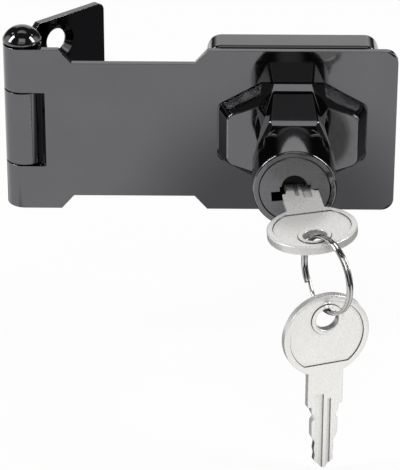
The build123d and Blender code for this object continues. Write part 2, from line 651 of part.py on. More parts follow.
# Behind the base a dished spring washer, a stop plate and a screw hold the knob.
WASHER_BORE = STEM_RADIUS + STEM_CLEARANCE
with BuildPart() as spring_washer:
    with BuildSketch(Plane.XY):
        Polygon(
            (WASHER_BORE, BOSS_REAR + SPRING_WASHER_BOW),
            (SPRING_WASHER_RADIUS, BOSS_REAR),
            (SPRING_WASHER_RADIUS, BOSS_REAR + SPRING_WASHER_THICKNESS),
            (WASHER_BORE, STEM_REAR),
            align=None,
        )
    revolve(axis=Axis.Y)
save(spring_washer.part, "spring_washer")

with BuildPart() as stop_plate:
    with BuildSketch(front_plane(STOP_REAR)):
        Circle(STOP_RADIUS)
        with Locations((0, -STOP_TAB_REACH / 2)):
            Rectangle(2 * STOP_TAB_HALF, STOP_TAB_REACH)
        Rectangle(
            2 * (TANG_HALF + PIN_CLEARANCE), 2 * (TANG_HALF + PIN_CLEARANCE), mode=Mode.SUBTRACT
        )
    extrude(amount=STOP_THICKNESS)
save(stop_plate.part, "stop_plate")

with BuildPart() as knob_screw:
    with BuildSketch(front_plane(STOP_REAR + SCREW_HEAD_HEIGHT)):
        Circle(SCREW_HEAD_RADIUS)
    extrude(amount=SCREW_HEAD_HEIGHT)
    with BuildSketch(front_plane(STOP_REAR)):
        Circle(SCREW_RADIUS)
    extrude(amount=SCREW_LENGTH)
    with BuildSketch(front_plane(STOP_REAR + SCREW_HEAD_HEIGHT)):
        Rectangle(3 * SCREW_HEAD_RADIUS, SCREW_SLOT_WIDTH)
    extrude(amount=SCREW_SLOT_DEPTH, mode=Mode.SUBTRACT)
save(knob_screw.part, "knob_screw")

# One key, drawn flat: +Y runs from the shoulders to the bow, and the blade points to -Y.
BOW_Y = SHANK_LENGTH + BOW_RADIUS
HOLE_Y = BOW_Y + KEY_HOLE_OUT
FACE_Z = KEY_THICKNESS / 2
BLADE_LENGTH = BITTING[-1][0]
with BuildPart() as key:
    with BuildSketch(Plane.XY.offset(-FACE_Z)) as outline:
        with Locations((0, BOW_Y)):
            Circle(BOW_RADIUS)
        with Locations((0, BOW_Y / 2)):
            Rectangle(2 * SHANK_HALF, BOW_Y)
        Polygon(
            *[(half, -out) for out, half in BITTING],
            *[(-half, -out) for out, half in reversed(BITTING)],
            align=None,
        )
    extrude(amount=KEY_THICKNESS)
    chamfer(key.edges().filter_by(GeomType.CIRCLE), KEY_EDGE)
    with BuildSketch(Plane.XY.offset(FACE_Z - PANEL_DEPTH), Plane.XY.offset(-FACE_Z)):
        with Locations((0, BOW_Y)):
            Circle(BOW_RADIUS - BOW_RIM)
        with Locations((0, BOW_Y - PANEL_CHORD - BOW_RADIUS)):
            Rectangle(4 * BOW_RADIUS, 2 * BOW_RADIUS, mode=Mode.SUBTRACT)
        with Locations((0, HOLE_Y)):
            Circle(EYELET_RADIUS, mode=Mode.SUBTRACT)
    extrude(amount=PANEL_DEPTH, mode=Mode.SUBTRACT)
    with BuildSketch(Plane.XY.offset(-FACE_Z)):
        with Locations((0, HOLE_Y)):
            Circle(KEY_HOLE_RADIUS)
    extrude(amount=KEY_THICKNESS, mode=Mode.SUBTRACT)
    with BuildSketch(Plane.XY.offset(FACE_Z - GROOVE_DEPTH)):
        with Locations((WIDE_GROOVE_X, (WIDE_GROOVE_START - BLADE_LENGTH) / 2)):
            Rectangle(WIDE_GROOVE, WIDE_GROOVE_START + BLADE_LENGTH)
        with Locations((NARROW_GROOVE_X, (NARROW_GROOVE_START - BLADE_LENGTH) / 2)):
            Rectangle(NARROW_GROOVE, NARROW_GROOVE_START + BLADE_LENGTH)
    extrude(amount=GROOVE_DEPTH, mode=Mode.SUBTRACT)

# The key in the lock lies in the keyway's plane and leans within it.
tilt = radians(PLUG_TILT)
yaw = radians(KEY_IN_YAW)
KEY_UP = Vector(-sin(tilt), 0, cos(tilt))
KEYWAY_RIGHT = Vector(cos(tilt), 0, sin(tilt))
KEY_OUT = Vector(0, -cos(yaw), 0) + KEYWAY_RIGHT * sin(yaw)
KEY_MID = KEYWAY_TOP - KEY_IN_DROP - FACE_Z
SHOULDERS = Vector(0, KNOB_FACE, 0) + KEYWAY_RIGHT * KEY_IN_X + KEY_UP * KEY_MID
SHOULDERS += KEY_OUT * (KEY_IN_GAP + SHANK_HALF * sin(yaw))
key_in_plane = Plane(origin=SHOULDERS, x_dir=KEY_OUT.cross(KEY_UP), z_dir=KEY_UP)
save(key_in_plane.location * key.part, "key_in_lock")

# The split ring is two turns of wire. It hangs from the rim of the bow, at the hole.
RING_ALONG = Vector(cos(radians(RING_FACING)), -sin(radians(RING_FACING)), 0)
RING_INNER = RING_RADIUS - RING_WIRE_RADIUS
HOLE_TOP = key_in_plane.from_local_coords((0, HOLE_Y, FACE_Z))
RING_DROP = sqrt(RING_INNER**2 - (RING_REACH - KEY_HOLE_RADIUS) ** 2) - RING_CLEARANCE
RING_CENTRE = HOLE_TOP + RING_ALONG * RING_REACH - Vector(0, 0, RING_DROP)
STEP = radians(RING_STEP)
STEP_END = Plane(origin=(0, 0, 0), x_dir=(cos(STEP), sin(STEP), 0), z_dir=(sin(STEP), -cos(STEP), 0))
with BuildPart() as key_ring:
    with BuildSketch(STEP_END):
        with Locations((RING_RADIUS, 0), (RING_RADIUS, RING_TURN_PITCH)):
            Circle(RING_WIRE_RADIUS)
    revolve(axis=Axis.Z, revolution_arc=360 - RING_STEP)
    with BuildLine():
        step = Helix(
            pitch=RING_TURN_PITCH * 360 / RING_STEP, height=RING_TURN_PITCH, radius=RING_RADIUS
        )
    with BuildSketch(Plane(origin=step @ 0, z_dir=step % 0)):
        Circle(RING_WIRE_RADIUS)
    sweep(is_frenet=True)
ring_plane = Plane(origin=RING_CENTRE, x_dir=RING_ALONG, z_dir=RING_ALONG.cross(Vector(0, 0, 1)))
ring_turned = ring_plane.location * Rot(0, 0, RING_STEP_AT)
save(ring_turned * Pos(0, 0, -RING_TURN_PITCH / 2) * key_ring.part, "key_ring")

# The spare key hangs from the bottom of the ring.
SPARE_RIGHT = Vector(cos(radians(SPARE_FACING)), sin(radians(SPARE_FACING)), 0)
SPARE_HOLE = RING_CENTRE - Vector(0, 0, RING_INNER + KEY_HOLE_RADIUS - SPARE_CLEARANCE)
SPARE_SHOULDERS = SPARE_HOLE - Vector(0, 0, HOLE_Y)
spare_plane = Plane(
    origin=SPARE_SHOULDERS, x_dir=SPARE_RIGHT, z_dir=SPARE_RIGHT.cross(Vector(0, 0, 1))
)
save(spare_plane.location * key.part, "spare_key")
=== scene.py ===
"""Keyed twist-knob hasp lock in black nickel, with a key in the lock and a spare on a split ring."""

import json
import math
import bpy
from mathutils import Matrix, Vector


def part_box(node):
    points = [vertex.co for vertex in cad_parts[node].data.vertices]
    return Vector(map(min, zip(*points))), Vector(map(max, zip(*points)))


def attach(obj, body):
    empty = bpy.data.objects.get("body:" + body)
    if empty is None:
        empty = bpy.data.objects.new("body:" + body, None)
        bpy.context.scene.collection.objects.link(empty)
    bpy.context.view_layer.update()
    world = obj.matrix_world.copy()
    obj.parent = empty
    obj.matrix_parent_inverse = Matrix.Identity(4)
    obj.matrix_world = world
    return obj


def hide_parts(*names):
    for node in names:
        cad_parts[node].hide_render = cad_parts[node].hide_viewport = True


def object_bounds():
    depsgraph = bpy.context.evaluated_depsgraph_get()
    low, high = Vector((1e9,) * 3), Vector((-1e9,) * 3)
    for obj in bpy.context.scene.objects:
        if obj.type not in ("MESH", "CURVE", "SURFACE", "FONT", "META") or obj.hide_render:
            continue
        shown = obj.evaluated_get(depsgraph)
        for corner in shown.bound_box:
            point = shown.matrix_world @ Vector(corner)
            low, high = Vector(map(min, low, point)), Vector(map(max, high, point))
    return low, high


bl_info = {
    "name": "Keyed Hasp Lock",
    "version": (1, 0, 0),
    "blender": (4, 5, 0),
    "location": "3D View > Sidebar > Hasp Lock",
    "description": "Dresses the packed hasp lock with plated metal pieces and sets its studio",
    "category": "Object",
}

import bmesh
import bpy
from bpy.props import FloatProperty, PointerProperty, StringProperty
from mathutils import Matrix, Vector

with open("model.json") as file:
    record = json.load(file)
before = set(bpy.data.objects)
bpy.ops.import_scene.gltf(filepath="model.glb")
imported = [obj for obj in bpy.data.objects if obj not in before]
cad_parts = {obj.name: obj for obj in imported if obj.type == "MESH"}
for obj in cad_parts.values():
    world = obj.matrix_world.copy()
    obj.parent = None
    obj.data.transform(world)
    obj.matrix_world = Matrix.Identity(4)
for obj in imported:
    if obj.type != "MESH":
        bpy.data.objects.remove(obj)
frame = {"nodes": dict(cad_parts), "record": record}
CAD_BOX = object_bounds()

MM = 0.001
HINGE = Vector((-54.94 * MM, -3.9 * MM, 0.0))
KNUCKLE_RADIUS = 3.9 * MM
KNUCKLE_ROLL = math.radians(298)
RING_CENTRE = (Vector(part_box("key_ring")[0]) + Vector(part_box("key_ring")[1])) / 2
RECORD_SLOT = {part["node"]: part["material_slot"] for part in frame["record"]["subparts"]}
BODY_OF = {
    node: body
    for body, nodes in frame["record"]["behaviour"]["bodies"].items()
    for node in nodes
}

# In millimetres: where the barrel and the plug end in front, half the key's shank, the height
# of the bow over the key's shoulders, the eyelet's over the bow's centre, and its radius.
BARREL_FRONT = -35.0
SHANK_HALF = 3.6
BOW_RISE = 6.7
EYELET_RISE = 3.6
EYELET_RADIUS = 2.3

# The camera that fits the photograph, which is 470 pixels high, as wide as the sensor. The aim is
# a point of the lock that stands so many pixels to the right of the picture's middle and above it.
CAMERA_ELEVATION = math.radians(27.0)
CAMERA_AZIMUTH = math.radians(0.65)
CAMERA_ROLL = math.radians(0.06)
CAMERA_DISTANCE = 0.54032
AIM = Vector((-0.019, -0.0078, 0.0))
AIM_PIXELS = (-1, 104)
FOCAL_PIXELS = 2644.88
FRAME_PIXELS = 470
SENSOR_MM = 36.0

# Turns a shape made in the XY plane to stand upright in the XZ plane.
UPRIGHT = Matrix.Rotation(math.radians(90), 4, "X")
UP = Vector((0, 0, 1))

# The size of a metal's drifts of tone, and the centre and reach of the painted shade that darkens the
# strap round the lock.
DRIFT_SIZE = 9 * MM
SHADE_CENTRE = Vector((-2 * MM, -8 * MM, -25 * MM))
SHADE_REACH = (16 * MM, 40 * MM)
# The tone of the painted shade laid in creases, hollow walls and cut sides.
PAINTED_SHADE_TONE = "#565655"
RANGE_INPUTS = ("Value", "From Min", "From Max", "To Min", "To Max")


def linear(hex_colour):
    """An sRGB hex colour as linear RGBA."""
    channels = [int(hex_colour.lstrip("#")[i : i + 2], 16) / 255 for i in (0, 2, 4)]
    return [c / 12.92 if c <= 0.04045 else ((c + 0.055) / 1.055) ** 2.4 for c in channels] + [1.0]


def add_node(tree, kind, inputs=None, **settings):
    """Add a node; inputs maps each input to a value or to another node's output."""
    made = tree.nodes.new(kind)
    for name, value in settings.items():
        setattr(made, name, value)
    for name, value in (inputs or {}).items():
        if isinstance(value, bpy.types.NodeSocket):
            tree.links.new(value, made.inputs[name])
        else:
            made.inputs[name].default_value = value
    return made


def empty_tree(owner):
    """The node tree of a material or a world, emptied."""
    owner.use_nodes = True
    owner.node_tree.nodes.clear()
    return owner.node_tree


def layered_tone(tree, base, layers):
    """A colour over which others are laid, each by its own amount."""
    colour = linear(base)
    for amount, tone in layers:
        # A Mix node has its factor at input 0, its colours at 6 and 7, and the result at 2.
        mixed = add_node(
            tree, "ShaderNodeMix", {0: amount, 6: colour, 7: linear(tone)}, data_type="RGBA"
        )
        colour = mixed.outputs[2]
    return colour


def combined_levels(tree, sources, ramps, steps):
    """Named levels that vary over space, or by kind of ray.

    A ramp reads a source between two values, and has a level at each of them. A step names
    a new level, made of two others by an operation.
    """
    levels = dict(sources)
    for name, (source, *ends) in ramps.items():
        ramp = add_node(
            tree,
            "ShaderNodeMapRange",
            dict(zip(RANGE_INPUTS, (sources[source], *ends))),
            interpolation_type="SMOOTHSTEP",
        )
        levels[name] = ramp.outputs["Result"]
    for name, first, operation, second in steps:
        joined = add_node(
            tree, "ShaderNodeMath", {0: levels[first], 1: levels[second]}, operation=operation
        )
        levels[name] = joined.outputs[0]
    return levels


def polished_metal(
    name, dark, light, edge, polish, grain_mm, relief_mm,
    grain=(1.0, 1.0, 1.0), painted_lock_shade=None, metallic=1.0,
):
    """A polished or plated metal.

    Its tone drifts a little. Its polish and a very low relief follow the grain left by
    the mould or the buffing wheel. Rounded edges are a little brighter, where handling rubs them.
    Creases and hollows get a painted shade, and a painted shade may darken the plating by the lock.
    """
    material = bpy.data.materials.new(name)
    tree = empty_tree(material)
    place = add_node(tree, "ShaderNodeTexCoord").outputs["Object"]
    drift = add_node(
        tree, "ShaderNodeTexNoise", {"Vector": place, "Scale": 1 / DRIFT_SIZE, "Detail": 2.0}
    )
    along = add_node(tree, "ShaderNodeMapping", {"Vector": place, "Scale": grain})
    texture = add_node(
        tree,
        "ShaderNodeTexNoise",
        {"Vector": along.outputs["Vector"], "Scale": 1 / (grain_mm * MM), "Detail": 4.0},
    )
    grain_level = texture.outputs["Fac"]
    rubbed = add_node(tree, "ShaderNodeAttribute", attribute_name="rounded_edge")
    uneven = add_node(
        tree, "ShaderNodeMapRange", dict(zip(RANGE_INPUTS, (grain_level, 0.35, 0.65, 0.2, 0.8)))
    )
    worn = add_node(
        tree,
        "ShaderNodeMath",
        {0: rubbed.outputs["Fac"], 1: uneven.outputs["Result"]},
        operation="MULTIPLY",
    )
    # Faces marked for it take a painted shade: creases, hollow walls and cut sides.
    painted_shade_mask = add_node(tree, "ShaderNodeAttribute", attribute_name="painted_shade")
    layers = [
        (drift.outputs["Fac"], light),
        (worn.outputs[0], edge),
        (painted_shade_mask.outputs["Fac"], PAINTED_SHADE_TONE),
    ]
    # A painted shade darkens the plating round the lock, and fades out with distance.
    if painted_lock_shade:
        away = add_node(
            tree, "ShaderNodeVectorMath", {0: place, 1: SHADE_CENTRE}, operation="DISTANCE"
        )
        near = add_node(
            tree,
            "ShaderNodeMapRange",
            dict(zip(RANGE_INPUTS, (away.outputs["Value"], *SHADE_REACH, 1.0, 0.0))),
            interpolation_type="SMOOTHSTEP",
        )
        layers.insert(1, (near.outputs["Result"], painted_lock_shade))
    roughness = add_node(
        tree, "ShaderNodeMapRange", dict(zip(RANGE_INPUTS, (grain_level, 0.3, 0.7, *polish)))
    )
    shader = add_node(
        tree,
        "ShaderNodeBsdfPrincipled",
        {
            "Base Color": layered_tone(tree, dark, layers),
            "Metallic": metallic,
            "Roughness": roughness.outputs["Result"],
        },
    )
    if relief_mm:
        relief = add_node(
            tree,
            "ShaderNodeBump",
            {"Height": grain_level, "Strength": 1.0, "Distance": relief_mm * MM},
        )
        tree.links.new(relief.outputs["Normal"], shader.inputs["Normal"])
    add_node(tree, "ShaderNodeOutputMaterial", {"Surface": shader.outputs["BSDF"]})
    return material


def corner_face(bm, corners, y):
    """A flat face that fronts -Y, from its corners (x, z)."""
    return bm.faces.new([bm.verts.new((x, y, z)) for x, z in corners])


def both_sides(quarter):
    """All corners of an outline, anticlockwise, from those in its upper right quarter."""
    upper = quarter + [(-x, z) for x, z in reversed(quarter)]
    return upper + [(-x, -z) for x, z in upper]


def bevelled(bm, geom, width, segments, affect="EDGES", clamp=False):
    """Bevel edges or corners; one segment cuts a chamfer, and more make a rounding."""
    return bmesh.ops.bevel(
        bm,
        geom=geom,
        offset=width,
        offset_type="OFFSET",
        affect=affect,
        segments=segments,
        profile=0.5,
        material=-1,
        clamp_overlap=clamp,
    )


def round_corners(bm, verts, radius, segments=6):
    """Round corners of a flat outline to a radius."""
    for vert in verts:
        one, other = (edge.other_vert(vert).co - vert.co for edge in vert.link_edges)
        from_corner = radius / math.tan(one.angle(other) / 2)
        bevelled(bm, [vert], from_corner, segments, affect="VERTICES")


def fill_round_holes(bm):
    """Turn nested outlines into one flat sheet with holes."""
    bmesh.ops.delete(bm, geom=bm.faces[:], context="FACES_ONLY")
    bmesh.ops.triangle_fill(bm, edges=bm.edges[:], use_beauty=True)


def thicken(bm, depth):
    """Give a flat sheet its thickness, towards +Y."""
    grown = bmesh.ops.extrude_face_region(bm, geom=bm.faces[:])["geom"]
    moved = [item for item in grown if isinstance(item, bmesh.types.BMVert)]
    bmesh.ops.translate(bm, verts=moved, vec=(0, depth, 0))
    bmesh.ops.recalc_face_normals(bm, faces=bm.faces)


def swept(bm, geom, centre, axis, angle, steps, rise=0.0):
    """Sweep points, edges or faces round an axis, and return the end that moved."""
    return bmesh.ops.spin(
        bm,
        geom=geom,
        cent=centre,
        axis=axis,
        dvec=(0, 0, rise),
        angle=angle,
        steps=steps,
        use_merge=abs(angle) >= math.radians(360),
        use_duplicate=False,
    )["geom_last"]


def roll_knuckles(bm, angle):
    """Roll the sheet's ends, which stand over the hinge axis, round it."""
    ends = [face for face in bm.faces if abs(face.calc_center_median().x - HINGE.x) < 0.01 * MM]
    rolled = dict.fromkeys(item for face in ends for item in (face, *face.edges, *face.verts))
    swept(bm, list(rolled), HINGE, UP, angle, 64)
    bmesh.ops.recalc_face_normals(bm, faces=bm.faces)


def round_edges(bm, edges, width, segments):
    """Round some edges, and mark the rounding for the rubbed tone."""
    mark = bm.faces.layers.float.get("rounded_edge") or bm.faces.layers.float.new("rounded_edge")
    for face in bevelled(bm, edges, width, segments, clamp=True)["faces"]:
        if face.calc_area() < face.calc_perimeter() * width:
            face[mark] = 1.0


def soften_edges(bm, width, segments=3, sharper_than=40.0, beyond=0.0):
    """Round sharp outer edges, and mark the rounding for the rubbed tone.

    Only edges further than beyond from the knob's axis are rounded.
    """
    sharp = [
        edge for edge in bm.edges
        if len(edge.link_faces) == 2
        and edge.is_convex
        and edge.calc_face_angle() > math.radians(sharper_than)
        and all(math.hypot(vert.co.x, vert.co.z) >= beyond for vert in edge.verts)
    ]
    round_edges(bm, sharp, width, segments)


def edges_to_front(bm):
    """The edges that run from the rear of a casting to its front."""
    return [edge for edge in bm.edges if abs(edge.verts[0].co.y - edge.verts[1].co.y) > MM]


def lofted(*sections):
    """A solid through outlines (corners, y) with the same number of corners, in millimetres."""
    bm = bmesh.new()
    faces = [
        corner_face(bm, [(x * MM, z * MM) for x, z in corners], y * MM) for corners, y in sections
    ]
    outlines = bm.edges[:]
    bmesh.ops.delete(bm, geom=faces[1:-1], context="FACES_ONLY")
    bmesh.ops.bridge_loops(bm, edges=outlines)
    bmesh.ops.recalc_face_normals(bm, faces=bm.faces)
    return bm


def rod(radius, rear_y, front_y, segments=96):
    """A solid cylinder on the knob's axis, in millimetres."""
    bm = bmesh.new()
    bmesh.ops.create_cone(
        bm,
        cap_ends=True,
        segments=segments,
        radius1=radius * MM,
        radius2=radius * MM,
        depth=(rear_y - front_y) * MM,
        matrix=Matrix.Translation((0, (rear_y + front_y) / 2 * MM, 0)) @ UPRIGHT,
    )
    return bm


def block(low, high):
    """A solid box between two corners, in millimetres."""
    bm = bmesh.new()
    size = Vector(high) - Vector(low)
    middle = (Vector(high) + Vector(low)) / 2
    bmesh.ops.create_cube(
        bm, size=MM, matrix=Matrix.Translation(middle * MM) @ Matrix.Diagonal((*size, 1))
    )
    return bm


def combined(bm, others, operation):
    """One closed shape: the others joined to the first, or cut out of it."""
    things = []
    for shape in [bm] + others:
        mesh = bpy.data.meshes.new("shape")
        shape.to_mesh(mesh)
        shape.free()
        things.append(bpy.data.objects.new("shape", mesh))
        bpy.context.scene.collection.objects.link(things[-1])
    for tool in things[1:]:
        step = things[0].modifiers.new("step", "BOOLEAN")
        step.object = tool
        step.operation = operation
        step.solver = "EXACT"
    made = things[0].evaluated_get(bpy.context.evaluated_depsgraph_get())
    result = bmesh.new()
    result.from_mesh(made.to_mesh())
    made.to_mesh_clear()
    # Each object goes with its mesh.
    for thing in things:
        bpy.data.meshes.remove(thing.data)
    bmesh.ops.remove_doubles(result, verts=result.verts, dist=0.001 * MM)
    return result


def merged_copy(node):
    """A copy of a CAD node's mesh with its loose triangles joined and its flat faces whole."""
    bm = bmesh.new()
    bm.from_mesh(frame["nodes"][node].data)
    bmesh.ops.remove_doubles(bm, verts=bm.verts, dist=0.002 * MM)
    bmesh.ops.dissolve_limit(
        bm,
        angle_limit=math.radians(0.4),
        use_dissolve_boundaries=False,
        verts=bm.verts,
        edges=bm.edges,
        delimit=set(),
    )
    return bm


def finish_piece(bm, name, node, material, smooth_below=40.0):
    """Turn a bmesh into a piece that stands for a CAD node and rides on its body."""
    mesh = bpy.data.meshes.new(name)
    bm.to_mesh(mesh)
    bm.free()
    piece = bpy.data.objects.new(name, mesh)
    bpy.context.scene.collection.objects.link(piece)
    mesh.materials.append(material)
    mesh.shade_smooth()
    mesh.set_sharp_from_angle(angle=math.radians(smooth_below))
    # Large flat faces keep flat reflections beside their rounded edges.
    weigh = piece.modifiers.new("flat_faces", "WEIGHTED_NORMAL")
    weigh.mode = "FACE_AREA"
    weigh.keep_sharp = True
    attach(piece, BODY_OF[node])
    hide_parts(node)
    return piece


class PlatingSettings(bpy.types.PropertyGroup):
    """Colours of the platings."""

    black_dark: StringProperty(name="Black nickel, dark", description="Darker tone", default="#646466")
    black_light: StringProperty(name="Black nickel, light", description="Lighter tone", default="#6B6B6D")
    black_edge: StringProperty(name="Black nickel, edges", description="Rubbed edges", default="#8A8A8B")
    # The tone of the painted shade on the strap round the lock.
    black_painted_shade: StringProperty(
        name="Black nickel, by the lock", description="Where the plating is heaviest", default="#474749"
    )
    key_dark: StringProperty(name="Bright nickel, dark", description="Darker tone", default="#EFEEEB")
    key_light: StringProperty(name="Bright nickel, light", description="Lighter tone", default="#F6F5F3")
    key_edge: StringProperty(name="Bright nickel, edges", description="Rubbed edges", default="#FAF9F8")


class SheetSettings(bpy.types.PropertyGroup):
    """Sizes of the strap, the leaf and their pin."""

    thickness: FloatProperty(
        name="Sheet", description="Thickness of the steel sheet", default=1.5 * MM, unit="LENGTH"
    )
    edge: FloatProperty(
        name="Sheet edge", description="Rounding of the sheet's edges", default=0.4 * MM, unit="LENGTH"
    )
    strap_right: FloatProperty(
        name="Strap end", description="Knob axis to the free end", default=21.2 * MM, unit="LENGTH"
    )
    strap_height: FloatProperty(
        name="Strap height", description="Over its wide ends", default=35.5 * MM, unit="LENGTH"
    )
    waist_height: FloatProperty(
        name="Waist height", description="Over its narrow middle", default=29.6 * MM, unit="LENGTH"
    )
    leaf_height: FloatProperty(
        name="Leaf height", description="Over its mounting plate", default=38.5 * MM, unit="LENGTH"
    )
    leaf_length: FloatProperty(
        name="Leaf length", description="Hinge axis to the free edge", default=24.0 * MM, unit="LENGTH"
    )
    leaf_open: FloatProperty(
        name="Leaf angle",
        description="How far the leaf stands open",
        default=math.radians(43.4),
        subtype="ANGLE",
        unit="ROTATION",
    )
    head_radius: FloatProperty(
        name="Pin head radius", description="Radius of the domed head", default=3.95 * MM, unit="LENGTH"
    )
    head_rise: FloatProperty(
        name="Pin head rise", description="Height of the domed head", default=3.2 * MM, unit="LENGTH"
    )


class KnobSettings(bpy.types.PropertyGroup):
    """Edge roundings of the knob's casting."""

    neck_edge: FloatProperty(
        name="Neck edges", description="Rounding of the long edges", default=0.5 * MM, unit="LENGTH"
    )
    wing_corner: FloatProperty(
        name="Wing corners", description="Rounding of the outer corners", default=1.2 * MM, unit="LENGTH"
    )
    wing_edge: FloatProperty(
        name="Wing edges", description="Rounding of the front edges", default=0.25 * MM, unit="LENGTH"
    )
    rim_edge: FloatProperty(
        name="Barrel rim", description="Rounding of the barrel's rim", default=0.4 * MM, unit="LENGTH"
    )


class KeySettings(bpy.types.PropertyGroup):
    """Sizes of the keys."""

    thickness: FloatProperty(
        name="Key thickness", description="Thickness of the blank", default=1.7 * MM, unit="LENGTH"
    )
    bow_radius: FloatProperty(
        name="Bow radius", description="Radius of the round bow", default=8.65 * MM, unit="LENGTH"
    )
    rim: FloatProperty(
        name="Bow rim", description="Width round the coined panel", default=1.1 * MM, unit="LENGTH"
    )
    edge: FloatProperty(
        name="Key edge", description="Rounding of the stamped edges", default=0.2 * MM, unit="LENGTH"
    )


class RingSettings(bpy.types.PropertyGroup):
    """Sizes of the split ring."""

    radius: FloatProperty(
        name="Ring radius", description="To the middle of the wire", default=7.5 * MM, unit="LENGTH"
    )
    wire: FloatProperty(
        name="Wire radius", description="Radius of the wire", default=0.34 * MM, unit="LENGTH"
    )
    pitch: FloatProperty(
        name="Turn pitch", description="Between the two turns", default=0.69 * MM, unit="LENGTH"
    )


class StageSettings(bpy.types.PropertyGroup):
    """Studio sizes."""

    floor_gap: FloatProperty(
        name="Floor gap", description="Lowest point to the floor", default=1.0 * MM, unit="LENGTH"
    )
    strip_power: FloatProperty(
        name="Strip lights", description="Power of each side light", default=4.0, subtype="POWER"
    )
    front_power: FloatProperty(
        name="Front light", description="Power of the high front light", default=0.7, subtype="POWER"
    )
    spot_power: FloatProperty(
        name="Spots", description="Power of each small rear light", default=0.1, subtype="POWER"
    )


# The metals' materials by name, which the first operator fills in.
METALS = {}


class HASP_OT_metals(bpy.types.Operator):
    """Make the metals' materials and give them to the CAD nodes"""

    bl_idname = "hasp_lock.metals"
    bl_label = "Metals"

    def execute(self, context):
        p = context.scene.hasp_plating
        # Black nickel over polished sheet steel: a dark mirror with faint buffing lines along X.
        METALS["black_nickel_steel"] = polished_metal(
            "black_nickel_steel", p.black_dark, p.black_light, p.black_edge,
            polish=(0.035, 0.075), grain_mm=0.5, relief_mm=0.0006,
            # Round the lock the strap gets a painted shade.
            grain=(0.15, 1.0, 1.0), painted_lock_shade=p.black_painted_shade,
        )
        # Black nickel over a zinc die casting: the same mirror with a soft orange peel.
        METALS["black_nickel_casting"] = polished_metal(
            "black_nickel_casting", p.black_dark, p.black_light, p.black_edge,
            polish=(0.06, 0.11), grain_mm=1.3, relief_mm=0.0012,
        )
        # Black nickel over the turned plug: satin, so that the key hardly shows in it.
        METALS["plug_satin"] = polished_metal(
            "plug_satin", "#6E6E70", "#777779", p.black_edge,
            polish=(0.26, 0.34), grain_mm=0.4, relief_mm=0.0,
        )
        # A painted shade in the keyway and the thumb recess: the same plating, nearly black.
        METALS["keyway_painted_shade"] = polished_metal(
            "keyway_painted_shade", "#1B1B1C", "#262627", "#2C2C2D",
            polish=(0.4, 0.5), grain_mm=0.5, relief_mm=0.002,
        )
        # Bright nickel over stamped brass: pale satin, finely scratched along the key.
        METALS["bright_nickel"] = polished_metal(
            "bright_nickel", p.key_dark, p.key_light, p.key_edge,
            polish=(0.25, 0.33), grain_mm=0.6, relief_mm=0.0,
            grain=(1.0, 0.3, 0.3), metallic=0.5,
        )
        # Bright nickel over hard spring wire: a mirror with draw marks too fine to see.
        METALS["ring_wire"] = polished_metal(
            "ring_wire", "#B4B3B1", "#D2D1CE", "#DAD9D6",
            polish=(0.02, 0.05), grain_mm=0.5, relief_mm=0.0,
        )
        # Zinc plate on small steel parts: pale grey, matt and a little mottled.
        METALS["zinc_plated_steel"] = polished_metal(
            "zinc_plated_steel", "#A3A6A8", "#BFC2C4", "#CDCFD0",
            polish=(0.24, 0.42), grain_mm=0.6, relief_mm=0.003,
        )
        # Blued spring steel: darker, with the straight marks of rolling.
        METALS["spring_steel"] = polished_metal(
            "spring_steel", "#7F7F80", "#98989A", "#A9A9AA",
            polish=(0.2, 0.32), grain_mm=0.3, relief_mm=0.002,
        )
        # Stamped brass, bare: yellow, with a slight tarnish.
        METALS["brass"] = polished_metal(
            "brass", "#BE9A50", "#D8B66B", "#E2C684",
            polish=(0.22, 0.36), grain_mm=0.4, relief_mm=0.002,
        )
        for node, thing in frame["nodes"].items():
            thing.data.materials.clear()
            thing.data.materials.append(METALS[RECORD_SLOT[node]])
        return {"FINISHED"}


class HASP_OT_strap(bpy.types.Operator):
    """Stamp the slotted strap and roll its two knuckles"""

    bl_idname = "hasp_lock.strap"
    bl_label = "Strap"

    def execute(self, context):
        s = context.scene.hasp_sheet
        front = -2 * KNUCKLE_RADIUS
        wide = s.strap_height / 2
        waist = s.waist_height / 2
        free_shoulder = -17.3 * MM
        hinge_shoulder = -47.4 * MM
        slope = 2.6 * MM
        notch_gap = 0.65 * MM
        notch_right = HINGE.x + KNUCKLE_RADIUS + notch_gap
        notch_half = 8.2 * MM
        corner_radius = 2.5 * MM
        slot_corner_radius = 1.5 * MM
        upper = [
            (s.strap_right, wide),
            (free_shoulder, wide),
            (free_shoulder - slope, waist),
            (hinge_shoulder + slope, waist),
            (hinge_shoulder, wide),
            (HINGE.x, wide),
            (HINGE.x, notch_half),
            (notch_right, notch_half),
        ]
        bm = bmesh.new()
        blank = corner_face(bm, upper + [(x, -z) for x, z in reversed(upper)], front)
        free_corners = [vert for vert in blank.verts if vert.co.x > s.strap_right - MM]
        round_corners(bm, free_corners, corner_radius)
        octagon = both_sides([(15.2, 5.9), (6.4, 10.9)])
        slot = corner_face(bm, [(x * MM, z * MM) for x, z in octagon], front)
        round_corners(bm, slot.verts[:], slot_corner_radius, segments=4)
        fill_round_holes(bm)
        thicken(bm, s.thickness)
        roll_knuckles(bm, -KNUCKLE_ROLL)
        soften_edges(bm, s.edge)
        finish_piece(bm, "strap", "hasp_strap", METALS["black_nickel_steel"])
        return {"FINISHED"}


